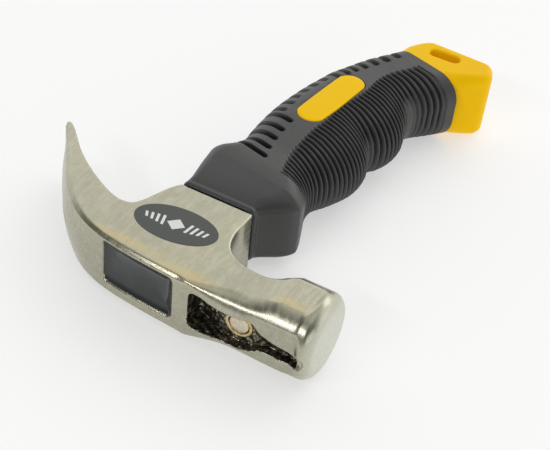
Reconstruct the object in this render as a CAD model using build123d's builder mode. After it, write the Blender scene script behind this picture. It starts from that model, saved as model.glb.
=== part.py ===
from build123d import *
from math import cos, radians, sin, tan
import os

# A stubby claw hammer lying on its side. X runs from the claw to the striking face, Y from the
# head to the butt, and Z up through its thickness. The origin is under the middle of its box.
# Outlines are drawn on the hammer's middle plane, in millimetres from the point where the poll's
# axis crosses the handle.

# ---- driving dimensions ----
FACE_X = 50.0           # striking face
POLL_R = 12.6           # striking disc
DISC_X = 46.4           # back of the striking disc
RIM_R = 3.0             # rounding of the disc's rim
FLAT_R = 10.7           # octagon behind the disc, centre to flat
OCTAGON_X = 36.5        # where the octagon starts
NECK_X = 29.5           # where the neck starts to swell to the octagon
NECK_Y = (-10.8, 3.0)   # top and bottom of the neck there
CHEEK_Z = 9.4           # half the head's thickness at its cheeks
EDGE_R = 0.5            # rounding along the cheeks
CLAW_TIP = (-56.2, 29.3)
COLLAR_Y = 23.3         # end of the eye's collar, where the handle starts
COLLAR_X = (-10.9, 12.8)
BUTT_Y = 136.6          # far end of the butt
GRIP_Z = 12.4           # half the grip's thickness at its thickest
BUTT_Z = POLL_R         # half the butt's thickness, so that the hammer lies level
SKIN = 2.6              # thickness of the rubber over the handle
HEAD_LEAN = 9.7         # the handle leans this many degrees towards the face

ROD = (17.0, 11.4, 4.0)             # glass-fibre core: width, thickness, corner radius
ROD_Y = (-3.0, 100.0)               # its two ends, along the handle
EYE_TOP = (23.6, 14.4, 2.4)         # mouth of the eye on top of the head
EYE_FOOT = (20.0, 14.4, 4.0)        # mouth of the eye in the collar
WINDOW_Y = -9.9                     # the head's top in the middle of that mouth
RESIN_SINK = 0.7                    # the resin stops this far inside the mouth

RESIN_LEAN = 0.08                   # its surface follows the slope of the head's top

SLOT_TIP = 3.9          # half the nail slot's width at the claw's tips
SLOT_TIP_X = -62.0
SLOT_ROOT = 0.8         # and at its root
SLOT_ROOT_X = -31.0

MAGNET_X = 27.2
CUP_R = 4.2
MAGNET_R = 3.3
CUP_Y = (-8.4, -4.0)    # front and back of the magnet's cup
CUP_FLOOR = 1.0
MAGNET_SINK = 0.2       # the magnet stops this far inside its cup
RECESS_R = 5.4          # recess around the cup
RECESS = (7.2, 9.4)     # and its straight part, towards the pocket: length and width
SEAT_Y = -7.6           # its floor
POCKET = (8.8, 11.4, 1.5)           # deep end of the pocket: length, width and corner radius
POCKET_X = 17.7
POCKET_Y = -5.0         # its floor
GROOVE_R = 1.7          # nail groove
GROOVE_END_X = 50.2     # it runs out in the disc's flange
ABOVE_Y = -20.0         # clear of the top of the head, where its cuts start

LABEL = (12.0, 6.5)     # half axes of the oval label
LABEL_AT = (-3.1, 7.1)
LABEL_TURN = 4.0
LABEL_T = 0.3
LABEL_PROUD = 0.05

PAD = (31.0, 9.8)       # coloured inlay: length and width
PAD_AT = (6.3, 83.7)
PAD_LEAN = 7.0
BUTT = [(4.6, 121.0), (13.0, 137.0), (43.8, 133.0), (45.6, 121.4), (34.0, 110.0)]
BUTT_CORNER_R = 4.5
BUTT_EDGE_R = 3.0
HANG = (11.6, 5.0)      # hanging slot: length and width
HANG_AT = (27.0, 126.7)

# Stations of the grip: centre x, centre y, half width, half thickness, lean and corner radius.
# They run from the collar over the flare and the finger swells to the edge of the butt.
STATIONS = [
    (1.0, COLLAR_Y, 12.2, 9.8, 0.0, 3.0),
    (3.6, 30.0, 15.6, 11.3, 3.0, 3.5),
    (4.5, 37.5, 18.9, GRIP_Z, 10.5, 4.5),
    (3.7, 45.0, 16.6, 12.1, 8.0, 7.0),
    (4.8, 51.5, 15.2, 11.8, 7.0, 9.0),
    (6.6, 59.5, 17.6, 12.2, 7.0, 9.5),
    (8.0, 68.0, 19.2, GRIP_Z, 8.0, 9.5),
    (8.1, 74.0, 19.0, GRIP_Z, 9.0, 9.5),
    (7.6, 80.4, 18.1, GRIP_Z, 10.5, 9.5),
    (9.8, 86.5, 19.3, GRIP_Z, 12.5, 9.5),
    (11.4, 93.0, 19.3, GRIP_Z, 15.0, 9.5),
    (12.0, 100.5, 17.6, 12.2, 17.5, 9.5),
    (13.3, 107.2, 16.3, 12.1, 20.0, 9.5),
    (18.4, 115.5, 16.1, 12.2, 22.5, 9.0),
    (22.9, 123.0, 15.8, GRIP_Z, 24.3, 8.0),
]

# Slots across the grip's back: inner ends of the five below the inlay and the five above it.
BACK_SLOT = (24.0, 2.2)
BACK_SLOT_LEAN = 14.0
LOWER_SLOTS = [(-4.0, 47.6 + 4.9 * i) for i in range(5)]
UPPER_SLOTS = [(2.4 + 2.0 * i, 105.2 + 4.5 * i) for i in range(5)]
THROUGH = 30.0          # further than any half thickness

os.makedirs("parts", exist_ok=True)

# ---- where the middle of the hammer lies ----
MID_X = -(CLAW_TIP[0] + FACE_X) / 2
MID_Y = -(BUTT_Y - POLL_R) / 2
mid = Plane(origin=(MID_X, MID_Y, BUTT_Z))


def place(x, y, z=0.0):
    """A point of the hammer's own outline, in the part's frame."""
    return mid.from_local_coords(Vector(x, y, z))


def across(x, y, lean):
    """Plane across the handle at (x, y), with its X towards the front and its normal to the butt."""
    a = radians(lean)
    return Plane(origin=place(x, y), x_dir=(cos(a), -sin(a), 0), z_dir=(sin(a), cos(a), 0))


def along_poll(x):
    """Plane across the poll at x, with its normal towards the striking face."""
    return Plane(origin=place(x, 0), x_dir=(0, 1, 0), z_dir=(1, 0, 0))


def from_top(y):
    """Plane parallel to the top of the head at y, with its normal into the head."""
    return Plane(origin=place(0, y), x_dir=(1, 0, 0), z_dir=(0, 1, 0))


def grip_loft(inset):
    """Loft through the grip's stations, each one drawn in by inset."""
    with BuildPart() as body:
        for x, y, half, thick, lean, corner in STATIONS:
            with BuildSketch(across(x, y, lean)):
                RectangleRounded(2 * (half - inset), 2 * (thick - inset), corner - inset / 2)
        loft(ruled=True)
    return body.part


# The eye leans with the handle: its axis runs from the middle of the window to the collar.
EYE_FOOT_X = sum(COLLAR_X) / 2
EYE_TOP_Y = -12.5
EYE_TOP_X = EYE_FOOT_X - (COLLAR_Y - EYE_TOP_Y) * tan(radians(HEAD_LEAN))


def rod_at(y):
    """Plane across the glass-fibre core where it passes y."""
    return across(EYE_FOOT_X + (y - COLLAR_Y) * tan(radians(HEAD_LEAN)), y, HEAD_LEAN)


with BuildPart() as eye:
    with BuildSketch(across(EYE_TOP_X, EYE_TOP_Y, 0)):
        RectangleRounded(*EYE_TOP)
    with BuildSketch(across(EYE_FOOT_X, COLLAR_Y, 0)):
        RectangleRounded(*EYE_FOOT)
    loft()

with BuildPart() as core_rod:
    with BuildSketch(rod_at(ROD_Y[0])):
        RectangleRounded(*ROD)
    extrude(amount=(ROD_Y[1] - ROD_Y[0]) / cos(radians(HEAD_LEAN)))

# ---- head: claw, cheeks and collar in one outline, then the poll ----
with BuildPart() as head:
    with BuildSketch(mid):
        with BuildLine():
            inner = Spline(
                (-53.6, 28.4), (-44.5, 19.7), (-31.0, 10.5), (-21.3, 6.8), (-16.6, 10.0), (-13.4, 18.0),
                (COLLAR_X[0], COLLAR_Y),
            )
            end = Line(inner @ 1, (COLLAR_X[1], COLLAR_Y))
            throat = Spline(end @ 1, (14.2, 12.5), (20.8, 4.8), (NECK_X, NECK_Y[1]))
            Line(throat @ 1, (NECK_X, NECK_Y[0]))
            Line((NECK_X, NECK_Y[0]), (20.0, -10.9))
            Spline(
                (20.0, -10.9), (3.0, -10.2), (-12.0, -8.9), (-22.4, -6.2), (-31.6, -0.4), (-40.9, 9.5),
                CLAW_TIP,
            )
            Line(CLAW_TIP, inner @ 0)
        make_face()
    extrude(amount=CHEEK_Z, both=True)
    fillet(head.faces().filter_by(Plane.XY).edges(), radius=EDGE_R)
    with BuildSketch(along_poll(NECK_X)):
        with Locations((sum(NECK_Y) / 2, 0)):
            RectangleRounded(NECK_Y[1] - NECK_Y[0], 2 * CHEEK_Z, EDGE_R)
    with BuildSketch(along_poll(OCTAGON_X)):
        RegularPolygon(FLAT_R, 8, major_radius=False, rotation=22.5)
    loft()
    with BuildSketch(along_poll(OCTAGON_X)):
        RegularPolygon(FLAT_R, 8, major_radius=False, rotation=22.5)
    extrude(amount=DISC_X - OCTAGON_X)
    with BuildSketch(along_poll(DISC_X)):
        Circle(POLL_R)
    extrude(amount=FACE_X - DISC_X)
    fillet(head.edges().filter_by(GeomType.CIRCLE).sort_by(Axis.X)[-1], radius=RIM_R)

    # eye, nail slot between the claws, and the nail starter's pocket, recess and groove
    add(eye.part, mode=Mode.SUBTRACT)
    with BuildSketch(from_top(ABOVE_Y)):
        with BuildLine():
            Polyline(
                (SLOT_TIP_X, SLOT_TIP), (SLOT_ROOT_X, SLOT_ROOT), (SLOT_ROOT_X, -SLOT_ROOT),
                (SLOT_TIP_X, -SLOT_TIP), close=True,
            )
        make_face()
    extrude(amount=COLLAR_Y + THROUGH, mode=Mode.SUBTRACT)
    with BuildSketch(from_top(ABOVE_Y)):
        with Locations((POCKET_X, 0)):
            RectangleRounded(*POCKET)
    extrude(amount=POCKET_Y - ABOVE_Y, mode=Mode.SUBTRACT)
    with BuildSketch(from_top(ABOVE_Y)):
        with Locations((MAGNET_X, 0)):
            Circle(RECESS_R)
        with Locations((MAGNET_X - RECESS[0] / 2, 0)):
            Rectangle(*RECESS)
        with Locations(((MAGNET_X + GROOVE_END_X) / 2, 0)):
            SlotOverall(GROOVE_END_X - MAGNET_X, 2 * GROOVE_R)
    extrude(amount=SEAT_Y - ABOVE_Y, mode=Mode.SUBTRACT)
    with BuildSketch(from_top(SEAT_Y)):
        with Locations((MAGNET_X, 0)):
            Circle(CUP_R)
    extrude(amount=CUP_Y[1] - SEAT_Y, mode=Mode.SUBTRACT)
    with BuildSketch(mid.offset(CHEEK_Z - LABEL_T)):
        with Locations(Location((*LABEL_AT, 0), (0, 0, LABEL_TURN))):
            Ellipse(*LABEL)
    extrude(amount=2 * LABEL_T, mode=Mode.SUBTRACT)

# ---- nail starter's magnet in its brass cup ----
with BuildPart() as magnet_cup:
    with BuildSketch(from_top(CUP_Y[0])):
        with Locations((MAGNET_X, 0)):
            Circle(CUP_R)
    extrude(amount=CUP_Y[1] - CUP_Y[0])
    with BuildSketch(from_top(CUP_Y[0])):
        with Locations((MAGNET_X, 0)):
            Circle(MAGNET_R)
    extrude(amount=CUP_Y[1] - CUP_Y[0] - CUP_FLOOR, mode=Mode.SUBTRACT)

with BuildPart() as nail_magnet:
    with BuildSketch(from_top(CUP_Y[0] + MAGNET_SINK)):
        with Locations((MAGNET_X, 0)):
            Circle(MAGNET_R)
    extrude(amount=CUP_Y[1] - CUP_Y[0] - CUP_FLOOR - MAGNET_SINK)
    chamfer(nail_magnet.faces().sort_by(Axis.Y)[0].edges(), length=0.3)

# ---- resin that bonds the handle into the eye ----
with BuildPart() as eye_resin:
    add(eye.part)
    top = Plane(origin=place(EYE_TOP_X, WINDOW_Y + RESIN_SINK), x_dir=(0, 0, 1), z_dir=(RESIN_LEAN, 1, 0))
    split(bisect_by=top, keep=Keep.TOP)
    add(core_rod.part, mode=Mode.SUBTRACT)

# ---- oval label let into the cheek ----
with BuildPart() as oval_label:
    with BuildSketch(mid.offset(CHEEK_Z - LABEL_T)):
        with Locations(Location((*LABEL_AT, 0), (0, 0, LABEL_TURN))):
            Ellipse(*LABEL)
    extrude(amount=LABEL_T + LABEL_PROUD)

# ---- handle body: the moulded jacket round the core, its inlays and the butt ----
end_x, end_y, _, _, end_lean, _ = STATIONS[-1]
butt_edge = across(end_x, end_y, end_lean)
grip_shape = grip_loft(0.0)
jacket_shape = grip_loft(SKIN)

with BuildPart() as inlays:
    add(grip_shape)
    with BuildSketch(mid):
        with Locations(Location((*PAD_AT, 0), (0, 0, 90 - PAD_LEAN))):
            SlotOverall(*PAD)
    extrude(amount=THROUGH, both=True, mode=Mode.INTERSECT)

with BuildPart() as handle_body:
    with BuildSketch(mid):
        with BuildLine():
            Polyline(*BUTT, close=True)
        make_face()
        fillet(vertices().sort_by(Axis.Y)[2:], radius=BUTT_CORNER_R)
    extrude(amount=BUTT_Z, both=True)
    split(bisect_by=butt_edge, keep=Keep.TOP)
    fillet(handle_body.faces().filter_by(Plane.XY).edges(), radius=BUTT_EDGE_R)
    with BuildSketch(mid):
        with Locations((*HANG_AT, 0)):
            SlotOverall(*HANG)
    extrude(amount=BUTT_Z, both=True, mode=Mode.SUBTRACT)
    add(jacket_shape)
    add(inlays.part)
    add(core_rod.part, mode=Mode.SUBTRACT)

# ---- rubber grip moulded over the jacket ----
half_slot = BACK_SLOT[0] / 2
slot_lean = radians(BACK_SLOT_LEAN)
with BuildPart() as grip_overmould:
    add(grip_shape)
    for x, y in LOWER_SLOTS + UPPER_SLOTS:
        middle = (x - half_slot * cos(slot_lean), y + half_slot * sin(slot_lean), 0)
        with BuildSketch(mid):
            with Locations(Location(middle, (0, 0, -BACK_SLOT_LEAN))):
                SlotOverall(*BACK_SLOT)
        extrude(amount=THROUGH, both=True, mode=Mode.SUBTRACT)
    add(jacket_shape, mode=Mode.SUBTRACT)
    add(inlays.part, mode=Mode.SUBTRACT)

PIECES = {
    "head": head,
    "magnet_cup": magnet_cup,
    "nail_magnet": nail_magnet,
    "eye_resin": eye_resin,
    "core_rod": core_rod,
    "oval_label": oval_label,
    "handle_body": handle_body,
    "grip_overmould": grip_overmould,
}
for name, piece in PIECES.items():
    piece.part.label = name
    export_step(piece.part, f"parts/{name}.step")
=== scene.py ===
"""Stubby claw hammer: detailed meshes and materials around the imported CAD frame."""

from math import cos, pi, radians, sin, tan

import bpy
import numpy as np
from mathutils import Matrix, Vector


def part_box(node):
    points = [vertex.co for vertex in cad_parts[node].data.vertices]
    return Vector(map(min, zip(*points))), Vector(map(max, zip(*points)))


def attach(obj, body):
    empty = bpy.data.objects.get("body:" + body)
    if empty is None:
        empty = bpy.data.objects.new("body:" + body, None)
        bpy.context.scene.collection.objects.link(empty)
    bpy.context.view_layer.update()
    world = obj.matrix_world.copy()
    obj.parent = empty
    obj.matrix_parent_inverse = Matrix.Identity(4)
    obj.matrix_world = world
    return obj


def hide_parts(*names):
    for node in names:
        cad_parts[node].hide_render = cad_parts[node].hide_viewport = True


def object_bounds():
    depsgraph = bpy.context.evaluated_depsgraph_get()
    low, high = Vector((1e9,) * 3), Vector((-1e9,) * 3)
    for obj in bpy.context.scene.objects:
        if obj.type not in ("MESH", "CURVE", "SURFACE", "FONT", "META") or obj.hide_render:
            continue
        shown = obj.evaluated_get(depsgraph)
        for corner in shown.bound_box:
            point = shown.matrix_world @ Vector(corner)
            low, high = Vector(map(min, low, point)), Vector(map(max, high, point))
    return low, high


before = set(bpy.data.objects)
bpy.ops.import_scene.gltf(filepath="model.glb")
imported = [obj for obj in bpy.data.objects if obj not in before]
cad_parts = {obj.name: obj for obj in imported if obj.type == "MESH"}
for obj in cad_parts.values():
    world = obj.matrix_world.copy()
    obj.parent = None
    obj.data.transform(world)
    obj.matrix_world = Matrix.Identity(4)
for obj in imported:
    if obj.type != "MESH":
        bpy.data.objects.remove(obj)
cad_low, cad_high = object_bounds()

MM = 0.001

# ---- the hammer's own outline: millimetres from the poll's axis, on the hammer's middle plane ----
FACE_X = 50.0
POLL_R = 12.6
DISC_X = 46.4
RIM_R = 3.4
DISC_BACK_R = 1.5
DISC_GUARD_X = 36.0         # past this nothing reaches outside the disc's round
ROOT_R = 3.2                # filled corner where the disc meets the poll
POLL_FLATS = (10.0, 11.1)   # from the axis to the ground flats: front and back, then the cheeks
POLL_EDGE_R = 0.25
POLL_ROUND_R = 12.7
POLL_ROUND_AT = (0.15, -0.35)
UNDERSIDE = 1.9             # how much lower the under cheek is than the upper one is high
CLAW_CROWN = 1.9
NECK_X = 28.4
POLL_X = 37.0
CHEEK_Z = 9.4
CHEEK_EDGE_R = 0.35
DIAGONAL = 0.7071           # turns a sum of two distances into the distance to the bevel between them
CLAW_TIP = (-56.1, 29.2)
COLLAR_Y = 23.3
COLLAR_X = (-10.9, 12.8)
COLLAR_EDGE_R = 0.8
SLOT_TIP = 3.9              # half widths of the nail slot at the claw's tip and at its root
SLOT_ROOT = 0.8
SLOT_ROOT_X = -35.0
SLOT_END_X = -62.0
SLOT_EDGE_R = 0.7
MAGNET_X = 27.2
CUP_R = 4.2
MAGNET_R = 2.95
CUP_FRONT = -8.4
CUP_BACK = -4.2
SEAT_BACK = -3.0
LABEL_AT = (-2.7, 7.0)
LABEL_HALF = (12.8, 7.1)
LABEL_TURN = 4.0
BUTT_Z = 11.7
HEAD_CELL = 0.3             # cells of the two sampled fields
BUTT_CELL = 0.32

# where the outline's origin lies in the part's own frame
head_low, head_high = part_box("head")
MID = Vector((head_high.x / MM - FACE_X, 0.0, POLL_R))
MID.y = head_low.y / MM + POLL_R


# ================= mesh tools =================

def new_piece(name, verts, faces, smooth=True):
    """Mesh object from vertices in the hammer's own millimetres."""
    verts = (np.asarray(verts, float) + np.array(MID)) * MM
    mesh = bpy.data.meshes.new(name)
    mesh.from_pydata(verts.tolist(), [], [tuple(f) for f in faces])
    mesh.validate()
    mesh.update()
    if smooth:
        mesh.shade_smooth()
    else:
        mesh.shade_flat()
    piece = bpy.data.objects.new(name, mesh)
    bpy.context.scene.collection.objects.link(piece)
    return piece


def surface_nets(field, low, high, step):
    """Quad mesh of field(x, y, z) = 0, with every vertex moved onto the surface."""
    axes = [np.arange(a - step, b + 2 * step, step) for a, b in zip(low, high)]
    value = field(axes[0][:, None, None], axes[1][None, :, None], axes[2][None, None, :])
    value = np.broadcast_to(value, [len(a) for a in axes])
    inside = value < 0
    corners = [(i, j, k) for i in (0, 1) for j in (0, 1) for k in (0, 1)]
    shape = [n - 1 for n in value.shape]

    def cells(array, at):
        return array[at[0]:at[0] + shape[0], at[1]:at[1] + shape[1], at[2]:at[2] + shape[2]]

    count = sum(cells(inside, c).astype(np.int8) for c in corners)
    mixed = np.nonzero((count > 0) & (count < 8))
    index = np.full(shape, -1)
    index[mixed] = np.arange(len(mixed[0]))
    total = np.zeros((len(mixed[0]), 3))
    hits = np.zeros(len(mixed[0]))
    for a in corners:
        for axis in range(3):
            if a[axis] == 0:
                b = tuple(v + (n == axis) for n, v in enumerate(a))
                va = value[tuple(m + d for m, d in zip(mixed, a))]
                vb = value[tuple(m + d for m, d in zip(mixed, b))]
                cut = (va < 0) != (vb < 0)
                t = np.where(cut, va / np.where(cut, va - vb, 1.0), 0.0)
                point = np.tile(np.array(a, float), (len(t), 1))
                point[:, axis] += t
                total += np.where(cut[:, None], point, 0.0)
                hits += cut
    verts = np.stack(mixed, 1) + total / hits[:, None]
    verts = np.array([a[0] for a in axes]) + verts * step
    quads = []
    for axis in range(3):
        one, two = [n for n in range(3) if n != axis]
        first = inside[tuple(slice(0, -1) if n == axis else slice(1, -1) for n in range(3))]
        second = inside[tuple(slice(1, None) if n == axis else slice(1, -1) for n in range(3))]
        where = np.stack(np.nonzero(first != second), 1)
        flip = first[tuple(where.T)]
        where = where + np.array([0 if n == axis else 1 for n in range(3)])
        ring = []
        for da, db in ((0, 0), (1, 0), (1, 1), (0, 1)):
            at = where.copy()
            at[:, one] -= da
            at[:, two] -= db
            ring.append(index[tuple(at.T)])
        ring = np.stack(ring, 1)
        if axis == 1:
            flip = ~flip
        ring[flip] = ring[flip][:, ::-1]
        quads.append(ring)
    quads = np.concatenate(quads)
    for _ in range(3):
        verts = onto_surface(field, verts, step)
    return verts, quads[:, ::-1]


def onto_surface(field, verts, step):
    """One Newton step of the vertices towards field = 0, no longer than a third of a cell."""
    def at(p):
        return field(p[:, 0], p[:, 1], p[:, 2])
    tiny = 0.02
    slope = np.stack([(at(verts + d) - at(verts - d)) / (2 * tiny) for d in np.eye(3) * tiny], 1)
    size = np.maximum((slope ** 2).sum(1), 0.2)
    move = -(at(verts) / size)[:, None] * slope
    length = np.linalg.norm(move, axis=1)
    return verts + move * np.minimum(1.0, step / 3 / np.maximum(length, 1e-9))[:, None]


def both(a, b, r):
    """Intersection of two solids with its edge rounded to r."""
    return np.minimum(np.maximum(a, b), -r) + np.hypot(np.maximum(a + r, 0), np.maximum(b + r, 0))


def either(a, b, r):
    """Union of two solids with its inner corner filled to r."""
    return np.maximum(np.minimum(a, b), r) - np.hypot(np.maximum(r - a, 0), np.maximum(r - b, 0))


def less(a, b, r):
    """The first solid without the second, with the edge rounded to r."""
    return both(a, -b, r)


def box_2d(u, v, half_u, half_v, r):
    """Distance to a rounded rectangle."""
    qu = np.abs(u) - half_u + r
    qv = np.abs(v) - half_v + r
    return np.hypot(np.maximum(qu, 0), np.maximum(qv, 0)) + np.minimum(np.maximum(qu, qv), 0) - r


def step_up(x, a, b):
    """Smooth step from 0 at a to 1 at b."""
    t = np.clip((x - a) / (b - a), 0, 1)
    return t * t * (3 - 2 * t)


def curve_through(points, count):
    """Points along a smooth curve through the given ones, at even steps of chord length."""
    p = np.array(points, float)
    knots = np.concatenate([[0], np.cumsum(np.linalg.norm(np.diff(p[:, :2], axis=0), axis=1))])
    slope = np.gradient(p, knots, axis=0)
    t = np.linspace(0, knots[-1], count)
    i = np.clip(np.searchsorted(knots, t, side="right") - 1, 0, len(p) - 2)
    h = (knots[i + 1] - knots[i])[:, None]
    u = ((t - knots[i])[:, None]) / h
    a, b = p[i], p[i + 1]
    return (a * (2 * u ** 3 - 3 * u ** 2 + 1) + b * (3 * u ** 2 - 2 * u ** 3)
            + slope[i] * h * (u ** 3 - 2 * u ** 2 + u) + slope[i + 1] * h * (u ** 3 - u ** 2))


class Outline:
    """Signed distance to a closed outline, looked up in a table."""

    def __init__(self, points, margin=6.0, pitch=0.2):
        p = np.array(points, np.float32)
        q = np.roll(p, -1, axis=0)
        self.low = p.min(0) - margin
        self.pitch = pitch
        counts = ((p.max(0) + margin - self.low) / pitch).astype(int) + 2
        gx = (self.low[0] + pitch * np.arange(counts[0], dtype=np.float32))[:, None]
        gy = (self.low[1] + pitch * np.arange(counts[1], dtype=np.float32))[None, :]
        near = np.full(counts, 1e9, np.float32)
        crossings = np.zeros(counts, bool)
        for (ax, ay), (bx, by) in zip(p, q):
            ex, ey = bx - ax, by - ay
            t = np.clip(((gx - ax) * ex + (gy - ay) * ey) / max(ex * ex + ey * ey, 1e-9), 0, 1)
            near = np.minimum(near, (gx - ax - t * ex) ** 2 + (gy - ay - t * ey) ** 2)
            if ay != by:
                spans = (gy >= min(ay, by)) & (gy < max(ay, by))
                crossings ^= spans & (gx < ax + (gy - ay) * ex / (by - ay))
        self.table = np.where(crossings, -1, 1) * np.sqrt(near)

    def at(self, x, y):
        u = np.clip((x - self.low[0]) / self.pitch, 0, self.table.shape[0] - 1.001)
        v = np.clip((y - self.low[1]) / self.pitch, 0, self.table.shape[1] - 1.001)
        i, j = u.astype(int), v.astype(int)
        u, v = u - i, v - j
        t = self.table
        return ((t[i, j] * (1 - u) + t[i + 1, j] * u) * (1 - v)
                + (t[i, j + 1] * (1 - u) + t[i + 1, j + 1] * u) * v)


# ================= head =================

INNER_CURVE = [(-54.3, 29.2), (-53.2, 28.4), (-50.3, 25.8), (-44.5, 20.1), (-37.0, 14.4), (-30.8, 10.8),
               (-25.6, 8.4), (-21.3, 7.4), (-18.0, 8.3), (-16.2, 11.0), (-14.8, 14.9), (-13.2, 19.2),
               (COLLAR_X[0], COLLAR_Y)]
THROAT_CURVE = [(12.7, 18.5), (12.5, 15.6), (13.0, 11.6), (14.1, 8.5), (15.8, 6.4), (18.7, 4.7), (22.3, 3.5),
                (26.0, 3.2), (30.0, 3.4), (52.0, 3.4)]
OUTER_CURVE = [(52.0, -10.8), (26.0, -10.9), (12.7, -10.8), (2.8, -10.3), (-5.0, -9.7), (-12.5, -8.8),
               (-19.0, -7.5), (-25.0, -5.2), (-31.6, -0.9), (-36.8, 4.0), (-41.2, 9.2), (-46.7, 16.6),
               (-51.6, 23.0), (-55.6, 27.8)]
TIP_CURVE = [(-55.6, 27.8), (-56.0, 28.7), (-55.4, 29.5), (-54.3, 29.2)]
POCKET_EDGE = [(12.7, 4.6), (13.3, 5.8), (15.8, 6.1), (19.4, 5.0), (24.0, 4.4), (28.6, 4.6), (31.4, 5.0),
               (32.9, 4.1), (33.9, 2.7), (36.0, 1.5), (39.0, 0.6), (43.5, 0.1), (45.8, -0.9),
               (46.3, -2.3), (45.2, -3.6), (42.0, -4.1), (37.0, -4.1), (34.2, -4.2), (32.4, -5.2),
               (29.4, -6.1), (22.0, -6.2), (15.0, -6.6), (13.2, -6.1), (12.6, -4.2)]

# eye: its middle, half sizes and corners under the top, and how they change on the way to the collar
EYE_TOP_Y = -12.5
EYE_X = (-5.8, 0.95)
EYE_HALF = (12.5, 7.2)
EYE_TAPER = (2.4, 0.3)
EYE_CORNER_R = 1.1
EYE_CORNER_GAIN = 2.9
EYE_STOP = 14.0             # the hole ends this far short of the collar
EYE_EDGE_R = 1.1

# nail starter: its floor rises to the magnet, and its walls lean by the draft
POCKET_FLOOR_Y = -4.6
MAGNET_RISE = 3.3
GROOVE_DROP = 0.5
POCKET_DRAFT = 0.1
POCKET_TOP_Y = -10.8
CAST_ROUGHNESS = 0.3
ROUGH_END_X = 46.2          # past this the notch is smooth
NOTCH_AT = (45.0, -12.5, -0.4)
NOTCH_HALF = 1.2
NOTCH_R = 2.35
STARTER_EDGE_R = 0.25


def moved_out(points, reach):
    """The outer curve's points moved outwards along the claw, and back to nothing at its tip."""
    along = np.gradient(points, axis=0)
    normal = np.stack([along[:, 1], -along[:, 0]], 1) / np.linalg.norm(along, axis=1)[:, None]
    amount = reach * step_up(-points[:, 0], 10.0, 20.0) * (1 - 0.9 * step_up(-points[:, 0], 47.0, 56.0))
    return points - normal * amount[:, None]


def outlines():
    """The head's whole outline, and the line of its top alone, for the edges along the top."""
    inner = curve_through(INNER_CURVE, 70)
    throat = curve_through(THROAT_CURVE, 60)
    outer = curve_through(OUTER_CURVE, 90)
    tip = curve_through(TIP_CURVE, 12)
    past = [(COLLAR_X[0], COLLAR_Y + 4), (COLLAR_X[1], COLLAR_Y + 4)]
    whole = np.concatenate([inner, past, throat, moved_out(outer, CLAW_CROWN + 0.3), tip])
    top = np.concatenate([[(52.0, 60.0), (52.0, 0.0)], outer, [(-80.0, 60.0)]])
    return Outline(whole), Outline(top)


outline, top_line = outlines()
pocket_line = Outline(curve_through(POCKET_EDGE, 120), 3.0, 0.1)


def lumps(x, y, z):
    """Rough cast surface: a height between about -1 and 1 that varies over a millimetre or two."""
    a = np.sin(2.1 * x + 1.3 * z + 1.9 * np.sin(0.9 * y + 0.7 * z)) * np.sin(1.7 * z - 0.9 * x + 1.4 * y)
    b = np.sin(4.3 * x - 2.9 * y + 1.4 * np.sin(2.7 * z)) * np.sin(4.1 * z + 1.9 * y + 1.1)
    return 0.65 * a + 0.35 * b


def poll_section(y, z):
    """Distance to the poll's section: round, with four ground flats."""
    flats = np.maximum(np.abs(y) - POLL_FLATS[0], np.abs(z) - POLL_FLATS[1])
    return both(np.hypot(y - POLL_ROUND_AT[0], z - POLL_ROUND_AT[1]) - POLL_ROUND_R, flats, POLL_EDGE_R)


def eye_distance(x, y, z):
    """Distance to the eye's tapered hole, measured across it."""
    t = np.clip((y - EYE_TOP_Y) / (COLLAR_Y - EYE_TOP_Y), 0, 1)
    centre = EYE_X[0] + (EYE_X[1] - EYE_X[0]) * t
    half_x, half_z = (h - taper * t for h, taper in zip(EYE_HALF, EYE_TAPER))
    return box_2d(x - centre, z, half_x, half_z, EYE_CORNER_R + EYE_CORNER_GAIN * t)


def top_of_head(x):
    """The y of the head's top at x, over the eye and the nail starter."""
    return np.interp(x, [p[0] for p in OUTER_CURVE[::-1]], [p[1] for p in OUTER_CURVE[::-1]])


def starter_cut(x, y, z):
    """Distance to the nail starter's pocket with its groove, and to the notch at the groove's end."""
    rough = CAST_ROUGHNESS * lumps(x, y, z)
    floor = POCKET_FLOOR_Y - MAGNET_RISE * step_up(x, 14.5, 23.0)
    floor = floor + GROOVE_DROP * step_up(x, 31.5, 37.0) + rough
    lower = step_up(-z, 0.5, 3.0) * (1 - step_up(x, 33.0, 37.0))
    wall = pocket_line.at(x, z) + POCKET_DRAFT * (y - POCKET_TOP_Y) + 0.8 * rough * lower
    along = np.maximum(np.abs(x - NOTCH_AT[0]) - NOTCH_HALF, 0)
    notch = np.sqrt(along ** 2 + (y - NOTCH_AT[1]) ** 2 + (z - NOTCH_AT[2]) ** 2) - NOTCH_R
    return np.minimum(np.maximum(wall, y - floor), notch)


def cheek_half(x, z):
    """The head's half thickness at x: thinner towards the claw's tip, and deeper on the under side."""
    half = CHEEK_Z - 0.7 * step_up(-x, 36.0, 56.0) - 0.2 * step_up(x, 10.0, 18.0)
    deeper = UNDERSIDE * (1 - step_up(-x, 28.0, 46.0)) * (1 - 0.45 * step_up(x, 8.0, 22.0))
    return half + deeper * (z < 0)


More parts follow.
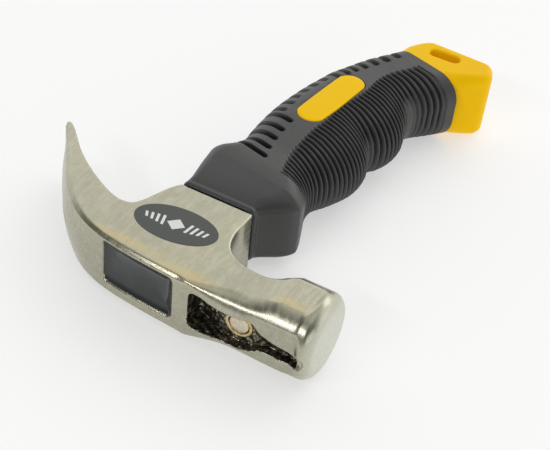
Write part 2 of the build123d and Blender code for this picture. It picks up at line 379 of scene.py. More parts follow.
def forging_body(x, y, z):
    """Distance to the claw, cheeks and collar, with the edges along the top ground round."""
    az = np.abs(z)
    half = cheek_half(x, z)
    crown = CLAW_CROWN * (1 - (z / half) ** 2) * step_up(-x, 16.0, 36.0) * (1 - 0.8 * step_up(-x, 47.0, 56.0))
    body = both(outline.at(x, y), az - half, CHEEK_EDGE_R)
    top = top_line.at(x, y) - np.maximum(crown, 0)
    # a narrow bevel along the claw and cheeks, and a round that widens towards the poll
    bevel = top + az - half + 1.1 * step_up(-x, -16.0, -8.0) - 0.4 * step_up(-x, 40.0, 54.0)
    body = both(body, bevel * DIAGONAL, 0.2)
    body = np.maximum(body, both(top, az - half, 0.8 + 4.7 * step_up(x, 8.0, 27.0)))
    # cut off at the collar's end, but not past x = -30, where the claw rises higher
    return both(body, np.minimum(y - COLLAR_Y, x + 30.0), COLLAR_EDGE_R)


def with_disc(solid, x, y, z):
    """The solid joined to the striking disc, and kept inside the disc's own round near the face."""
    across = np.hypot(y, z)
    face = x - FACE_X + 0.5 * (y * y + z * z) / POLL_R ** 2
    disc = both(both(across - POLL_R, face, RIM_R), DISC_X - x, DISC_BACK_R)
    solid = either(solid, disc, ROOT_R)
    reach = POLL_R + 0.5 * (1 - step_up(x, 39.0, 44.0))
    return np.where(x > DISC_GUARD_X, np.maximum(solid, both(across - reach, face, RIM_R)), solid)


def head_field(x, y, z):
    """Distance to the whole forging."""
    t = np.clip((x - NECK_X) / (POLL_X - NECK_X), 0, 1)
    t = 0.5 * t + 0.5 * step_up(x, NECK_X, POLL_X)
    swelling = (1 - t) * forging_body(x, y, z) + t * poll_section(y, z)
    solid = with_disc(both(swelling, x - DISC_X - 1.0, 0.1), x, y, z)
    slot_half = SLOT_ROOT + (SLOT_TIP - SLOT_ROOT) * (SLOT_ROOT_X - x) / (SLOT_ROOT_X - SLOT_END_X)
    wedge = np.maximum(np.abs(z) - np.maximum(slot_half, SLOT_ROOT), x - SLOT_ROOT_X)
    solid = less(solid, wedge, SLOT_EDGE_R)
    eye = np.maximum(eye_distance(x, y, z), y - COLLAR_Y + EYE_STOP)
    solid = less(solid, eye, EYE_EDGE_R)
    solid = less(solid, starter_cut(x, y, z), STARTER_EDGE_R)
    seat = np.maximum(np.hypot(x - MAGNET_X, z) - CUP_R, y - SEAT_BACK)
    return np.maximum(solid, -seat)


def make_head():
    """The forging, with a rough cast skin in the nail starter, darkened partly as painted shade."""
    low = (CLAW_TIP[0] - 1, -POLL_R - 0.5, -POLL_R - 0.5)
    high = (FACE_X + 0.5, CLAW_TIP[1] + 1, POLL_R + 0.5)
    verts, quads = surface_nets(head_field, low, high, HEAD_CELL)
    piece = new_piece("head_steel", verts, quads)
    x, y, z = verts[quads].mean(1).T
    # faces of the nail starter's rough skin, which get the dark material that is partly painted shade
    rough = (np.abs(starter_cut(x, y, z)) < 0.1) & (pocket_line.at(x, z) < 0.35) & (x < ROUGH_END_X)
    piece.data.materials.append(steel())
    piece.data.materials.append(cast_pocket_with_painted_shade())
    piece.data.polygons.foreach_set("material_index", rough.astype(np.int32))
    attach(piece, "root")
    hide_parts("head")


# ================= grip =================

# centre x, centre y, half width, half thickness, lean, and the front corners' width
STATIONS = [
    (1.0, 23.45, 11.6, 9.2, 0.0, 2.4),
    (1.0, 23.6, 12.0, 9.6, 0.0, 2.6),
    (1.0, 23.9, 12.25, 9.85, 0.0, 2.8),
    (1.1, 25.4, 12.5, 10.0, 0.5, 3.0),
    (1.4, 26.3, 12.9, 10.25, 1.2, 3.4),
    (4.3, 35.8, 17.9, 11.95, 9.8, 6.2),
    (4.5, 37.2, 18.3, 12.15, 10.5, 6.6),
    (4.4, 38.6, 18.3, 12.25, 10.4, 7.0),
    (4.2, 41.5, 17.5, 12.35, 9.5, 8.0),
    (4.0, 45.5, 16.0, 12.2, 8.0, 10.5),
    (4.9, 51.5, 15.0, 11.9, 7.0, 12.0),
    (6.7, 59.5, 17.4, 12.1, 7.0, 13.5),
    (8.1, 68.0, 19.0, 12.35, 8.0, 14.0),
    (8.2, 74.0, 18.8, 12.35, 9.0, 14.0),
    (7.6, 80.4, 17.3, 12.3, 10.5, 13.5),
    (10.1, 86.5, 18.8, 12.3, 12.5, 14.0),
    (11.7, 93.0, 18.8, 12.3, 14.5, 14.0),
    (12.1, 97.0, 18.2, 12.2, 15.6, 13.6),
    (12.3, 101.0, 16.7, 12.05, 16.8, 13.0),
    (13.2, 105.6, 15.5, 11.9, 18.0, 12.4),
    (15.0, 109.6, 15.3, 11.85, 18.6, 11.8),
    (19.0, 115.2, 15.2, 11.9, 18.6, 10.5),
    (23.3, 121.2, 14.7, 12.0, 17.7, 9.0),
]
RIB_PITCH = 1.86
RIB_DEPTH = 1.7
RIB_SPAN = (43.0, 118.4)
RIB_SLANT = 0.16
# where the ribs begin across the grip: place along it, then place across it
RIB_EDGE = [(43.2, 7.6), (55.7, 3.2), (59.2, 2.4), (63.1, 1.7), (67.2, 1.4), (74.4, 2.4), (80.4, 2.9),
            (86.4, 1.7), (97.1, 1.6), (106.4, 1.2), (112.4, 0.9), (120.0, 0.2)]
# finger valleys where the ribs fade: place, reach and strength, then the share of the half width
# at which the fading starts and is whole
BARE_VALLEYS = [(106.0, 4.2, 1.0, 0.66, 0.92), (80.5, 2.2, 0.7, 0.80, 0.97)]
# slots along the back: place along the grip, and how far across they reach
BACK_SLOTS = [(45.3, 0.4), (49.7, -1.3), (54.5, -3.0), (59.2, -4.3), (64.3, -5.4), (68.4, -10.8),
              (72.8, -10.7), (77.2, -10.4), (81.4, -10.2), (85.5, -10.8), (89.8, -11.2), (93.9, -9.4),
              (97.6, -7.4), (101.0, -6.2), (104.8, -5.1), (108.8, -4.7), (112.7, -5.2), (116.7, -6.2)]
SLOT_HALF = 1.0
SLOT_DEPTH = 2.5
SLOT_SLANT = 0.13
FACET_CUT = 1.5             # how much of the collar's rounded front is cut to a flat
FACET_STARTS = (24.5, 28.0)
FACET_ENDS = (35.0, 42.0)
GRIP_ROWS = 860
GRIP_TOP = 12.3
RECESS_DEPTH = 0.8
PAD_AT = (6.3, 83.7)
PAD_LEAN = 7.0
PAD_HALF = (15.5, 4.9)


def pad_distance(x, y):
    """Distance to the inlay's outline on the middle plane."""
    a = radians(PAD_LEAN)
    u = (x - PAD_AT[0]) * sin(a) + (y - PAD_AT[1]) * cos(a)
    v = (x - PAD_AT[0]) * cos(a) - (y - PAD_AT[1]) * sin(a)
    return box_2d(u, v, PAD_HALF[0], PAD_HALF[1], PAD_HALF[1] - 0.01)


def ring_of(half, thick, corner, extra, sides=(40, 12), arc=30):
    """Rounded rectangle with wider front corners: u, w and normals, from the back over the top.

    The extra adds a nose in front, which grip_rings cuts off flat.
    """
    blunt = 0.82 * corner
    corner = corner + 1.8 * extra
    depth = min(0.8 * corner + 1.0, thick - 0.6)
    u, w, nu, nw = [], [], [], []

    def line(start, end, normal, count):
        t = np.linspace(0, 1, count, endpoint=False)
        u.append(start[0] + (end[0] - start[0]) * t)
        w.append(start[1] + (end[1] - start[1]) * t)
        nu.append(0 * t + normal[0])
        nw.append(0 * t + normal[1])

    def turn(centre, reach, start):
        a = start - np.linspace(0, pi / 2, arc, endpoint=False)
        u.append(centre[0] + reach * np.cos(a))
        w.append(centre[1] + depth * np.sin(a))
        size = np.hypot(depth * np.cos(a), reach * np.sin(a))
        nu.append(depth * np.cos(a) / size)
        nw.append(reach * np.sin(a) / size)

    nose = half + extra
    front, back = nose - corner, blunt - half
    top, foot = thick - depth, depth - thick
    line((back, thick), (front, thick), (0, 1), sides[0])
    turn((front, top), corner, pi / 2)
    line((nose, top), (nose, foot), (1, 0), sides[1])
    turn((front, foot), corner, 0)
    line((front, -thick), (back, -thick), (0, -1), sides[0])
    turn((back, foot), blunt, -pi / 2)
    line((-half, foot), (-half, top), (-1, 0), sides[1])
    turn((back, top), blunt, -pi)
    return [np.concatenate(v) for v in (u, w, nu, nw)]


def grip_rings(count):
    """Grip surface before its ribs: points, normals and section coordinates, ring by ring."""
    points, normals, places = [], [], []
    for x, y, half, thick, lean, corner in curve_through(STATIONS, count):
        facet = FACET_CUT * float(step_up(y, *FACET_STARTS) * (1 - step_up(y, *FACET_ENDS)))
        u, w, nu, nw = ring_of(half, thick, corner, facet)
        flat = u > half
        u, nu, nw = np.minimum(u, half), np.where(flat, 1.0, nu), np.where(flat, 0.0, nw)
        a = radians(lean)
        points.append(np.stack([x + u * cos(a), y - u * sin(a), w], 1))
        normals.append(np.stack([nu * cos(a), -nu * sin(a), nw], 1))
        places.append(np.stack([u, 0 * u + y, w, 0 * u + half], 1))
    return np.array(points), np.array(normals), np.array(places)


def rib_depth(u, along, half):
    """Ribs round the front: rounded ridges with sharp valleys, fading out in the finger valleys."""
    edge = np.interp(along, [p[0] for p in RIB_EDGE], [p[1] for p in RIB_EDGE])
    shear = RIB_SLANT * (1 - step_up(along, 70.0, 112.0)) * (u - edge) * step_up(along, 43.0, 52.0)
    turns = (along + shear - RIB_SPAN[0]) / RIB_PITCH
    across = 2 * np.abs(turns - np.round(turns))
    ridge = 1 - np.sqrt(1 - np.minimum(across / 0.7, 0.995) ** 2)
    ends = step_up(u, edge - 0.3, edge + 0.7)
    span = (turns > -0.5) & (turns < np.floor((RIB_SPAN[1] - RIB_SPAN[0]) / RIB_PITCH) + 0.5)
    bare = 0.0
    for middle, spread, strength, begin, whole in BARE_VALLEYS:
        fading = np.exp(-((along - middle) / spread) ** 2)
        bare = bare + strength * fading * step_up(u, begin * half, whole * half)
    return RIB_DEPTH * ridge * ends * span * (1 - np.minimum(bare, 1))


def groove_depth(points, places):
    """Depth of the ribs, back slots and inlay recess at each point of the grip."""
    u, along, w, half = (places[..., i] for i in range(4))
    depth = rib_depth(u, along, half)
    for middle, edge in BACK_SLOTS:
        off = np.abs(along + SLOT_SLANT * (u - edge) - middle)
        inside = SLOT_HALF - np.hypot(off, np.maximum(u - edge + SLOT_HALF, 0))
        depth = np.maximum(depth, SLOT_DEPTH * step_up(inside, -0.1, 0.3))
    pad = pad_distance(points[..., 0], points[..., 1])
    return depth + RECESS_DEPTH * step_up(-pad, -0.2, 0.1) * (np.abs(w) > 9.0)


def grid_faces(rows, columns):
    """Quads of a tube of rings."""
    i, j = np.meshgrid(np.arange(rows - 1), np.arange(columns), indexing="ij")
    k = (j + 1) % columns
    here, after = i * columns, (i + 1) * columns
    return np.stack([here + j, here + k, after + k, after + j], -1).reshape(-1, 4)


def make_grip():
    """The rubber: its rings pushed in by the ribs, slots and recesses, and closed at both ends."""
    points, normals, places = grip_rings(GRIP_ROWS)
    verts = points - normals * groove_depth(points, places)[..., None]
    columns = verts.shape[1]
    verts = verts.reshape(-1, 3)
    quads = grid_faces(GRIP_ROWS, columns).tolist()
    quads.append(list(range(columns)))
    quads.append(list(range((GRIP_ROWS - 1) * columns, GRIP_ROWS * columns))[::-1])
    piece = new_piece("grip_rubber", verts, quads)
    piece.data.materials.append(rubber())
    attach(piece, "root")
    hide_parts("grip_overmould")


# ================= yellow moulding =================

BUTT_POINTS = [(7.4, 117.0), (12.4, 129.4), (18.6, 136.2), (42.0, 134.9), (45.2, 126.6), (31.2, 114.6),
               (24.0, 113.0)]
BUTT_CORNER_R = 5.0
BUTT_EDGE_R = 2.6
BUTT_ROOT_R = 5.6
BUTT_BOX = ((7, 114, -13.2), (47, 138.5, 13.2))
HANG_AT = (26.4, 129.2)
HANG_HALF = (5.4, 2.1)
HANG_EDGE_R = 0.7
END_X, END_Y, END_LEAN = 23.2, 121.1, 17.7
# rings of an inlay, from its foot over its crowned top: inset from its outline, then height
INLAY_PROFILE = [(0.0, -1.2), (0.0, -0.12), (0.1, 0.0), (0.3, 0.1), (0.7, 0.17), (1.4, 0.22), (2.8, 0.25),
                 (4.2, 0.27)]


def butt_field_of(shape):
    """Field of the butt from the end of the rubber outwards, with its hanging slot."""
    a = radians(END_LEAN)

    def field(x, y, z):
        past = (x - END_X) * sin(a) + (y - END_Y) * cos(a)
        edge = BUTT_ROOT_R + (BUTT_EDGE_R - BUTT_ROOT_R) * step_up(past, -1.0, 10.0)
        block = both(shape.at(x, y), np.abs(z) - BUTT_Z - 0.25, edge)
        slot = box_2d(x - HANG_AT[0], y - HANG_AT[1], *HANG_HALF, HANG_HALF[1] - 0.01)
        return np.maximum(less(block, slot, HANG_EDGE_R), -past)

    return field


def rounded(points, radius, count=9):
    """Closed outline with each corner replaced by a smooth bend."""
    out = []
    n = len(points)
    for i in range(n):
        p, c, q = (np.array(points[k % n], float) for k in (i - 1, i, i + 1))
        a, b = (p - c) / np.linalg.norm(p - c), (q - c) / np.linalg.norm(q - c)
        half = np.arccos(np.clip(a @ b, -1, 1)) / 2
        cut = min(radius / tan(half), 0.45 * np.linalg.norm(p - c), 0.45 * np.linalg.norm(q - c))
        for t in np.linspace(0, 1, count):
            out.append((1 - t) ** 2 * (c + a * cut) + 2 * t * (1 - t) * c + t * t * (c + b * cut))
    return out


def make_butt():
    """The end of the moulding that the rubber leaves bare."""
    shape = Outline(rounded(BUTT_POINTS, BUTT_CORNER_R))
    verts, quads = surface_nets(butt_field_of(shape), *BUTT_BOX, BUTT_CELL)
    piece = new_piece("butt", verts, quads)
    piece.data.materials.append(yellow())
    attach(piece, "root")
    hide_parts("handle_body")


def make_inlay(name, side):
    """Crowned pad of the moulding that shows through the rubber, on one side of the grip."""
    a = radians(PAD_LEAN)
    verts = []
    count = 96
    for inset, lift in INLAY_PROFILE:
        half_v = PAD_HALF[1] - inset - 0.08
        reach = PAD_HALF[0] - PAD_HALF[1]
        for k in range(count):
            t = 2 * pi * k / count
            u = half_v * cos(t) + reach * np.sign(cos(t)) * min(1, abs(cos(t)) * 4)
            v = half_v * sin(t)
            x = PAD_AT[0] + u * sin(a) + v * cos(a)
            y = PAD_AT[1] + u * cos(a) - v * sin(a)
            verts.append((x, y, side * (GRIP_TOP + lift)))
    rings = len(INLAY_PROFILE)
    faces = grid_faces(rings, count)
    if side > 0:
        faces = faces[:, ::-1]
    faces = faces.tolist()
    last = list(range((rings - 1) * count, rings * count))
    first = list(range(count))
    faces.append(last[::-1] if side > 0 else last)
    faces.append(first if side > 0 else first[::-1])
    piece = new_piece(name, verts, faces)
    piece.data.materials.append(yellow())
    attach(piece, "root")


# ================= small pieces =================

def lathe(name, profile, count, close_top):
    """Turned piece about the magnet's axis, from (radius, y) pairs."""
    verts = []
    for r, y in profile:
        for k in range(count):
            t = 2 * pi * k / count
            verts.append((MAGNET_X + r * cos(t), y, r * sin(t)))
    faces = grid_faces(len(profile), count).tolist()
    if close_top:
        faces.append(list(range(count))[::-1])
        faces.append(list(range((len(profile) - 1) * count, len(profile) * count)))
    return new_piece(name, verts, faces)


def make_magnet():
    """The brass ring and the magnet that sits in it, both turned."""
    ring = [(CUP_R, CUP_BACK), (CUP_R, CUP_FRONT + 0.25), (CUP_R - 0.1, CUP_FRONT + 0.08),
            (CUP_R - 0.28, CUP_FRONT), (MAGNET_R + 0.5, CUP_FRONT), (MAGNET_R + 0.3, CUP_FRONT + 0.14),
            (MAGNET_R + 0.22, CUP_FRONT + 0.9), (MAGNET_R + 0.05, CUP_BACK), (CUP_R, CUP_BACK)]
    cup = lathe("magnet_ring", ring, 72, False)
    cup.data.materials.append(brass())
    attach(cup, "root")
    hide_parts("magnet_cup")
    button = [(MAGNET_R, CUP_BACK), (MAGNET_R, CUP_FRONT + 0.42), (MAGNET_R - 0.1, CUP_FRONT + 0.25),
              (MAGNET_R - 0.32, CUP_FRONT + 0.16), (MAGNET_R - 1.0, CUP_FRONT + 0.13), (0.3, CUP_FRONT + 0.1)]
    disc = lathe("nail_magnet_disc", button, 72, True)
    disc.data.materials.append(nickel())
    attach(disc, "root")
    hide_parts("nail_magnet")


EYE_MOUTH_X = -5.0
EYE_MOUTH_Y = -9.5
RESIN_HALF = (12.2, 7.0)
RESIN_GRID = (90, 60)
RESIN_DEPTH = 2.5
RESIN_SUNK = 2.4            # depth of its middle under the head's top
RESIN_CREEP = 2.1           # how far it is drawn up at the walls, and over what width
RESIN_CLIMB = 1.9


def eye_wall(x, z):
    """Distance to the eye's wall near its mouth."""
    return float(eye_distance(np.float64(x), np.float64(EYE_MOUTH_Y), np.float64(z)))


def make_resin():
    """Resin surface inside the eye's mouth, sunk in the middle and drawn up at the walls."""
    rows, columns = RESIN_GRID
    verts = []
    for i in range(rows):
        for j in range(columns):
            u = -1 + 2 * i / (rows - 1)
            v = -1 + 2 * j / (columns - 1)
            u, v = sin(u * pi / 2), sin(v * pi / 2)
            x = EYE_MOUTH_X + RESIN_HALF[0] * u
            z = RESIN_HALF[1] * v
            edge = max(0.0, -eye_wall(x, z))
            y = float(top_of_head(x)) + RESIN_SUNK - RESIN_CREEP * np.exp(-edge / RESIN_CLIMB)
            verts.append((x, y, z))
    i, j = np.meshgrid(np.arange(rows - 1), np.arange(columns - 1), indexing="ij")
    here, after = i * columns, (i + 1) * columns
    faces = np.stack([here + j, after + j, after + j + 1, here + j + 1], -1).reshape(-1, 4)
    piece = new_piece("eye_resin_cast", verts, faces)
    thick = piece.modifiers.new("depth", "SOLIDIFY")
    thick.thickness = RESIN_DEPTH * MM
    thick.offset = -1
    piece.data.materials.append(resin())
    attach(piece, "root")
    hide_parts("eye_resin")


# rings of the label, from its foot over its edge: inset, then height over the cheek
LABEL_PROFILE = [(0.0, -0.3), (0.0, 0.03), (0.08, 0.07), (0.2, 0.08), (3.0, 0.08), (6.0, 0.08)]
PRINT_HEIGHTS = (0.06, 0.11)
LOZENGE = [(-2.8, 0.0), (0.0, -2.4), (2.8, 0.0), (0.0, 2.4)]
BARS = 4                    # to each side of the lozenge
BAR_START = 4.0
BAR_PITCH = 1.75
BAR_HALF = (0.42, 1.9)      # half width, and half height of the first
BAR_SHORTER = 0.3
BAR_SLANT = 0.4


def make_label():
    """Thin oval label with a plain row of shapes across it."""
    count = 120
    rings = len(LABEL_PROFILE)
    verts = []
    for inset, lift in LABEL_PROFILE:
        verts += [label_point((LABEL_HALF[0] - inset) * cos(t), (LABEL_HALF[1] - inset) * sin(t), lift)
                  for t in np.linspace(0, 2 * pi, count, endpoint=False)]
    faces = grid_faces(rings, count).tolist()
    faces.append(list(range((rings - 1) * count, rings * count)))
    faces.append(list(range(count))[::-1])
    print_start = len(faces)
    for corners in label_marks():
        start = len(verts)
        n = len(corners)
        verts += [label_point(u, v, lift) for lift in PRINT_HEIGHTS for u, v in corners]
        faces += [[start + i, start + (i + 1) % n, start + n + (i + 1) % n, start + n + i] for i in range(n)]
        faces.append([start + n + i for i in range(n)])
    piece = new_piece("oval_label_plate", verts, faces, smooth=False)
    piece.data.materials.append(label_paint())
    piece.data.materials.append(label_print())
    index = np.zeros(len(faces), np.int32)
    index[print_start:] = 1
    piece.data.polygons.foreach_set("material_index", index)
    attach(piece, "root")
    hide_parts("oval_label")


def label_point(u, v, lift):
    """Point on the label's own axes, at a height over the cheek."""
    a = radians(LABEL_TURN)
    return (LABEL_AT[0] + u * cos(a) - v * sin(a), LABEL_AT[1] + u * sin(a) + v * cos(a), CHEEK_Z + lift)


def label_marks():
    """A lozenge in the middle, and pairs of slanted bars that get shorter to each side."""
    marks = [LOZENGE]
    wide, tall = BAR_HALF
    for side in (-1, 1):
        slant = BAR_SLANT * side
        for i in range(BARS):
            u = side * (BAR_START + BAR_PITCH * i)
            v = tall - BAR_SHORTER * i
            marks.append([(u - wide - slant, -v), (u + wide - slant, -v),
                          (u + wide + slant, v), (u - wide + slant, v)])
    return marks


# ================= materials =================

class Shader:
    """Node material with short calls for the nodes used here."""

    def __init__(self, name):
        self.material = bpy.data.materials.new(name)
        self.material.use_nodes = True
        self.nodes = self.material.node_tree.nodes
        self.links = self.material.node_tree.links
        self.surface = self.nodes["Principled BSDF"]
        self.place = self.nodes.new("ShaderNodeTexCoord").outputs["Object"]

    def set(self, **sockets):
        for name, value in sockets.items():
            socket = self.surface.inputs[name.replace("_", " ")]
            if isinstance(value, bpy.types.NodeSocket):
                self.links.new(value, socket)
            else:
                socket.default_value = value

    def noise(self, scale, detail=2.0, stretch=(1, 1, 1), roughness=0.5):
        mapping = self.nodes.new("ShaderNodeMapping")
        mapping.inputs["Scale"].default_value = stretch
        self.links.new(self.place, mapping.inputs["Vector"])
        node = self.nodes.new("ShaderNodeTexNoise")
        node.inputs["Scale"].default_value = scale
        node.inputs["Detail"].default_value = detail
        node.inputs["Roughness"].default_value = roughness
        self.links.new(mapping.outputs["Vector"], node.inputs["Vector"])
        return node.outputs["Fac"]

    def blob(self, middle, reach):
        """Soft patch: 1 at its middle, 0 outside its reach, both in the hammer's own millimetres."""
        mapping = self.nodes.new("ShaderNodeMapping")
        mapping.vector_type = "TEXTURE"
        mapping.inputs["Location"].default_value = (Vector(middle) + MID) * MM
        mapping.inputs["Scale"].default_value = Vector(reach) * MM
        self.links.new(self.place, mapping.inputs["Vector"])
        node = self.nodes.new("ShaderNodeTexGradient")
        node.gradient_type = "QUADRATIC_SPHERE"
        self.links.new(mapping.outputs["Vector"], node.inputs["Vector"])
        return node.outputs["Color"]

    def ramp(self, value, stops):
        node = self.nodes.new("ShaderNodeValToRGB")
        ramp = node.color_ramp
        while len(ramp.elements) < len(stops):
            ramp.elements.new(0.5)
        for element, (at, colour) in zip(ramp.elements, stops):
            element.position = at
            element.color = (*colour, 1)
        self.links.new(value, node.inputs["Fac"])
        return node.outputs["Color"]

    def range(self, value, low, high, to_low, to_high):
        node = self.nodes.new("ShaderNodeMapRange")
        for name, number in (("From Min", low), ("From Max", high), ("To Min", to_low), ("To Max", to_high)):
            node.inputs[name].default_value = number
        self.links.new(value, node.inputs["Value"])
        return node.outputs["Result"]

    def mix(self, amount, a, b):
        node = self.nodes.new("ShaderNodeMix")
        node.data_type = "RGBA"
        for socket, value in ((node.inputs["Factor"], amount), (node.inputs["A"], a), (node.inputs["B"], b)):
            if isinstance(value, bpy.types.NodeSocket):
                self.links.new(value, socket)
            else:
                socket.default_value = value if isinstance(value, float) else (*value, 1)
        return node.outputs["Result"]

    def bump(self, height, strength, distance, after=None):
        node = self.nodes.new("ShaderNodeBump")
        node.inputs["Strength"].default_value = strength
        node.inputs["Distance"].default_value = distance
        self.links.new(height, node.inputs["Height"])
        if after is not None:
            self.links.new(after, node.inputs["Normal"])
        return node.outputs["Normal"]


# lighter straw-coloured patches along the top edges and on the poll's top flat: middle and reach in the
# hammer's own millimetres
STRAW_PATCHES = [((10.0, -8.0, 9.3), (17.0, 4.2, 3.0)), ((-12.0, -6.0, 9.3), (24.0, 3.4, 3.0)),
              ((39.5, -3.6, 11.0), (8.5, 3.4, 2.2))]


def steel():
    """Ground steel: mottled, brushed one way, with lighter straw patches, and painted paler on the striking
    face as a painted reflection of the bright floor.
    """
    s = Shader("satin_steel")
    broad = s.noise(45.0, 3.0)
    mottle = s.noise(420.0, 4.0, roughness=0.7)
    grain = s.noise(2600.0, 2.0)
    brush = s.noise(800.0, 2.0, (1.0, 0.22, 1.0))
    colour = s.ramp(broad, [(0.3, (0.385, 0.375, 0.285)), (0.5, (0.43, 0.42, 0.325)),
                            (0.7, (0.465, 0.445, 0.325))])
    colour = s.mix(s.range(mottle, 0.35, 0.65, 0.0, 0.35), colour, (0.33, 0.31, 0.235))
    colour = s.mix(s.range(brush, 0.45, 0.7, 0.0, 0.3), colour, (0.62, 0.61, 0.51))
    colour = s.mix(s.range(grain, 0.35, 0.65, 0.0, 0.15), colour, (0.33, 0.32, 0.25))
    for place, size in STRAW_PATCHES:
        patch = s.mix(s.range(mottle, 0.4, 0.7, 0.0, 0.8), s.blob(place, size), (0.0, 0.0, 0.0))
        colour = s.mix(s.range(patch, 0.0, 0.5, 0.0, 0.7), colour, (0.55, 0.46, 0.25))
    # painted reflection: the striking face's base is made paler to stand in for the brighter floor it
    # reflects
    face = s.range(s.blob((FACE_X + 1.0, 0.0, 0.0), (6.0, 26.0, 26.0)), 0.0, 0.4, 0.0, 1.0)
    colour = s.mix(face, colour, (0.60, 0.61, 0.51))
    s.set(Base_Color=colour, Metallic=1.0)
    s.set(Roughness=s.range(brush, 0.3, 0.7, 0.22, 0.31))
    s.set(Normal=s.bump(grain, 0.10, 0.00004, s.bump(mottle, 0.12, 0.0001)))
    return s.material


def cast_pocket_with_painted_shade():
    """Dark cast skin whose high spots are worn bright; its darkness is partly the skin's own and partly
    painted shade of the deep pocket.
    """
    s = Shader("cast_pocket_with_painted_shade")
    grains = s.noise(650.0, 4.0, roughness=0.6)
    # dark stops: partly the cast skin's own colour, partly painted shade of the deep pocket
    colour = s.ramp(grains, [(0.40, (0.030, 0.028, 0.019)), (0.54, (0.12, 0.11, 0.08)),
                            (0.63, (0.38, 0.36, 0.29)), (0.70, (0.85, 0.83, 0.72))])
    s.set(Base_Color=colour, Metallic=0.9)
    s.set(Roughness=s.range(grains, 0.3, 0.7, 0.42, 0.18))
    s.set(Normal=s.bump(grains, 0.7, 0.0005))
    return s.material


def rubber():
    """Dull black rubber with a fine texture."""
    s = Shader("moulded_rubber")
    fine = s.noise(1500.0, 3.0)
    broad = s.noise(60.0, 2.0)
    s.set(Base_Color=s.ramp(broad, [(0.3, (0.008, 0.0085, 0.0085)), (0.7, (0.012, 0.0125, 0.0125))]))
    s.set(Roughness=s.range(fine, 0.3, 0.7, 0.40, 0.52))
    s.set(Normal=s.bump(fine, 0.12, 0.00008))
    s.surface.inputs["Specular IOR Level"].default_value = 0.85
    return s.material


def yellow():
    """Satin yellow plastic that lets a little light in."""
    s = Shader("yellow_moulding")
    fine = s.noise(900.0, 2.0)
    broad = s.noise(35.0, 2.0)
    s.set(Base_Color=s.ramp(broad, [(0.3, (1.0, 0.57, 0.0)), (0.7, (1.0, 0.61, 0.0))]))
    s.set(Roughness=s.range(fine, 0.3, 0.7, 0.34, 0.46))
    s.set(Normal=s.bump(fine, 0.06, 0.00005))
    s.surface.inputs["Specular IOR Level"].default_value = 0.08
    s.surface.inputs["Subsurface Weight"].default_value = 0.08
    s.surface.inputs["Subsurface Radius"].default_value = (0.003, 0.0015, 0.0003)
    return s.material


def brass():
    """Turned brass, slightly tarnished."""
    s = Shader("brass_ring")
    fine = s.noise(1200.0, 2.0)
    s.set(Base_Color=s.ramp(fine, [(0.3, (0.50, 0.37, 0.17)), (0.7, (0.72, 0.58, 0.32))]), Metallic=1.0)
    s.set(Roughness=s.range(fine, 0.3, 0.7, 0.25, 0.4))
    s.set(Normal=s.bump(fine, 0.1, 0.0001))
    return s.material


def nickel():
    """Dull warm plating."""
    s = Shader("dull_nickel")
    fine = s.noise(900.0, 3.0)
    s.set(Base_Color=s.ramp(fine, [(0.3, (0.60, 0.53, 0.38)), (0.7, (0.78, 0.72, 0.56))]), Metallic=0.85)
    s.set(Roughness=s.range(fine, 0.3, 0.7, 0.35, 0.5))
    s.set(Normal=s.bump(fine, 0.15, 0.0001))
    return s.material


def resin():
    """Glossy dark resin."""
    s = Shader("cast_resin")
    broad = s.noise(120.0, 3.0)
    s.set(Base_Color=s.ramp(broad, [(0.3, (0.022, 0.025, 0.025)), (0.7, (0.038, 0.042, 0.042))]))
    s.set(Roughness=s.range(broad, 0.3, 0.7, 0.10, 0.2))
    s.set(Normal=s.bump(broad, 0.05, 0.0003))
    return s.material


def label_paint():
    """Dark grey label."""
    s = Shader("label_print")
    fine = s.noise(1400.0, 2.0)
    s.set(Base_Color=s.ramp(fine, [(0.3, (0.052, 0.058, 0.053)), (0.7, (0.066, 0.072, 0.066))]))
    s.set(Roughness=s.range(fine, 0.3, 0.7, 0.4, 0.5))
    s.set(Normal=s.bump(fine, 0.05, 0.00003))
    return s.material


def label_print():
    """Off-white print."""
    s = Shader("label_white_print")
    fine = s.noise(1400.0, 2.0)
    s.set(Base_Color=s.ramp(fine, [(0.3, (0.72, 0.72, 0.68)), (0.7, (0.82, 0.82, 0.78))]))
    s.set(Roughness=s.range(fine, 0.3, 0.7, 0.45, 0.55))
    s.set(Normal=s.bump(fine, 0.05, 0.00003))
    return s.material


def glass_fibre():
    """Resin-bonded glass strands that run along the rod."""
    s = Shader("glass_fibre")
    strands = s.noise(900.0, 2.0, (1.0, 0.06, 1.0))
    s.set(Base_Color=s.ramp(strands, [(0.3, (0.42, 0.36, 0.20)), (0.7, (0.62, 0.56, 0.36))]))
    s.set(Roughness=s.range(strands, 0.3, 0.7, 0.35, 0.55))
    s.set(Normal=s.bump(strands, 0.2, 0.0001))
    return s.material


def floor_paint():
    """Pale floor with a little light of its own, so that it stays near white."""
    s = Shader("pale_floor")
    s.set(Base_Color=s.ramp(s.noise(6.0, 2.0), [(0.3, (0.50, 0.50, 0.505)), (0.7, (0.51, 0.51, 0.51))]))
    s.set(Roughness=0.6)
    s.surface.inputs["Emission Color"].default_value = (1.0, 1.0, 1.0, 1)
    s.surface.inputs["Emission Strength"].default_value = 0.49
    return s.material


# ================= stage =================

# brightness of the dome at each height (0 at the horizon, 1 overhead)
FRONT_SKY = [(0.0, 0.80), (0.2, 0.42), (0.4, 0.12), (0.62, 0.10), (0.84, 0.18), (0.93, 0.62), (1.0, 0.72)]
BACK_SKY = [(0.0, 0.85), (0.3, 1.05), (0.6, 0.95), (0.76, 0.84), (0.88, 0.62), (1.0, 0.66)]
SKY_STRENGTH = 1.2
SKY_BLEND = 0.35            # half the width of the change from the front to the back
FLOOR_HALF = 3.0
FLOOR_GAP = 0.0001
CAMERA_AT = (126.7, -207.9, 229.0)      # millimetres from the crossing of the poll's axis and the handle
CAMERA_TURN = (24.82, 40.84, -6.63)     # azimuth, elevation and roll, degrees
CAMERA_LENS = 78.5


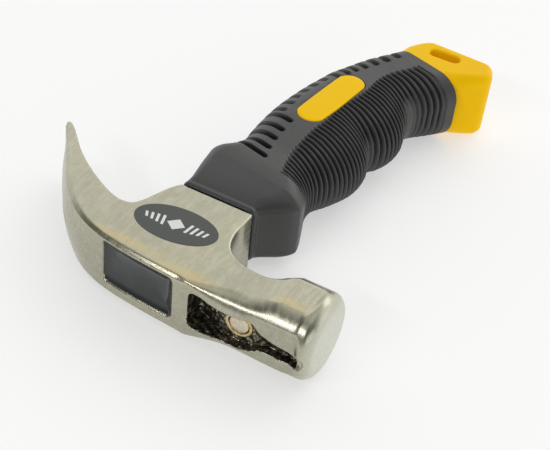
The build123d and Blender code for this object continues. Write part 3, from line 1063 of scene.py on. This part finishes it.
def make_camera():
    """Camera at the angle and distance named above."""
    azimuth, elevation, roll = (radians(v) for v in CAMERA_TURN)
    back = Vector((sin(azimuth) * cos(elevation), -cos(azimuth) * cos(elevation), sin(elevation)))
    right = Vector((cos(azimuth), sin(azimuth), 0))
    up = back.cross(right)
    level = Matrix((right, up, back)).transposed()
    data = bpy.data.cameras.new("camera")
    data.lens = CAMERA_LENS
    data.clip_start = 0.01
    camera = bpy.data.objects.new("camera", data)
    bpy.context.scene.collection.objects.link(camera)
    place = Matrix.Translation((Vector(CAMERA_AT) + MID) * MM)
    rolled = level @ Matrix.Rotation(-roll, 3, "Z")
    camera.matrix_world = place @ rolled.to_4x4()
    bpy.context.scene.camera = camera


def make_floor():
    """Flat floor just under the hammer."""
    corners = [(-FLOOR_HALF, -FLOOR_HALF, 0), (FLOOR_HALF, -FLOOR_HALF, 0),
               (FLOOR_HALF, FLOOR_HALF, 0), (-FLOOR_HALF, FLOOR_HALF, 0)]
    mesh = bpy.data.meshes.new("floor")
    mesh.from_pydata(corners, [], [(0, 1, 2, 3)])
    floor = bpy.data.objects.new("floor", mesh)
    bpy.context.scene.collection.objects.link(floor)
    floor.location.z = cad_low[2] - FLOOR_GAP
    mesh.materials.append(floor_paint())


def area_light(name, place, aim, size, power):
    """Soft rectangular light at a place in metres, turned to its aim."""
    data = bpy.data.lights.new(name, "AREA")
    data.shape = "RECTANGLE"
    data.size, data.size_y = size
    data.energy = power
    light = bpy.data.objects.new(name, data)
    bpy.context.scene.collection.objects.link(light)
    light.location = place
    light.rotation_euler = (Vector(aim) - Vector(place)).to_track_quat("-Z", "Y").to_euler()


def sky():
    """Studio dome: brighter at the back, with a darker band in front between floor and overhead."""
    world = bpy.data.worlds.new("studio")
    world.use_nodes = True
    tree = world.node_tree
    split = tree.nodes.new("ShaderNodeSeparateXYZ")
    tree.links.new(tree.nodes.new("ShaderNodeTexCoord").outputs["Generated"], split.inputs["Vector"])
    sides = []
    for stops in (FRONT_SKY, BACK_SKY):
        ramp = tree.nodes.new("ShaderNodeValToRGB")
        while len(ramp.color_ramp.elements) < len(stops):
            ramp.color_ramp.elements.new(0.5)
        for element, (height, level) in zip(ramp.color_ramp.elements, stops):
            element.position = height
            element.color = (level, level, level * 0.98, 1)
        tree.links.new(split.outputs["Z"], ramp.inputs["Fac"])
        sides.append(ramp.outputs["Color"])
    turn = tree.nodes.new("ShaderNodeMapRange")
    turn.interpolation_type = "SMOOTHSTEP"
    turn.inputs["From Min"].default_value = -SKY_BLEND
    turn.inputs["From Max"].default_value = SKY_BLEND
    tree.links.new(split.outputs["Y"], turn.inputs["Value"])
    mix = tree.nodes.new("ShaderNodeMix")
    mix.data_type = "RGBA"
    tree.links.new(turn.outputs["Result"], mix.inputs["Factor"])
    tree.links.new(sides[0], mix.inputs["A"])
    tree.links.new(sides[1], mix.inputs["B"])
    tree.links.new(mix.outputs["Result"], tree.nodes["Background"].inputs["Color"])
    tree.nodes["Background"].inputs["Strength"].default_value = SKY_STRENGTH
    bpy.context.scene.world = world


def make_lights():
    """The dome, a narrow strip for the steel's edges, and two soft fills."""
    sky()
    area_light("strip", (-0.16, -0.72, 0.58), (0, 0, 0.01), (0.55, 0.045), 1.5)
    area_light("back", (0.25, 0.9, 0.75), (0, 0, 0), (0.9, 0.6), 1.5)
    area_light("front right", (1.1, -0.8, 0.5), (0, 0, 0), (1.0, 0.6), 1.7)
    bpy.context.scene.view_settings.view_transform = "Standard"


make_head()
make_grip()
make_butt()
make_inlay("inlay_upper", 1)
make_inlay("inlay_lower", -1)
make_magnet()
make_resin()
make_label()
make_camera()
make_floor()
make_lights()

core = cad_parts["core_rod"]
core.data.materials.clear()
core.data.materials.append(glass_fibre())
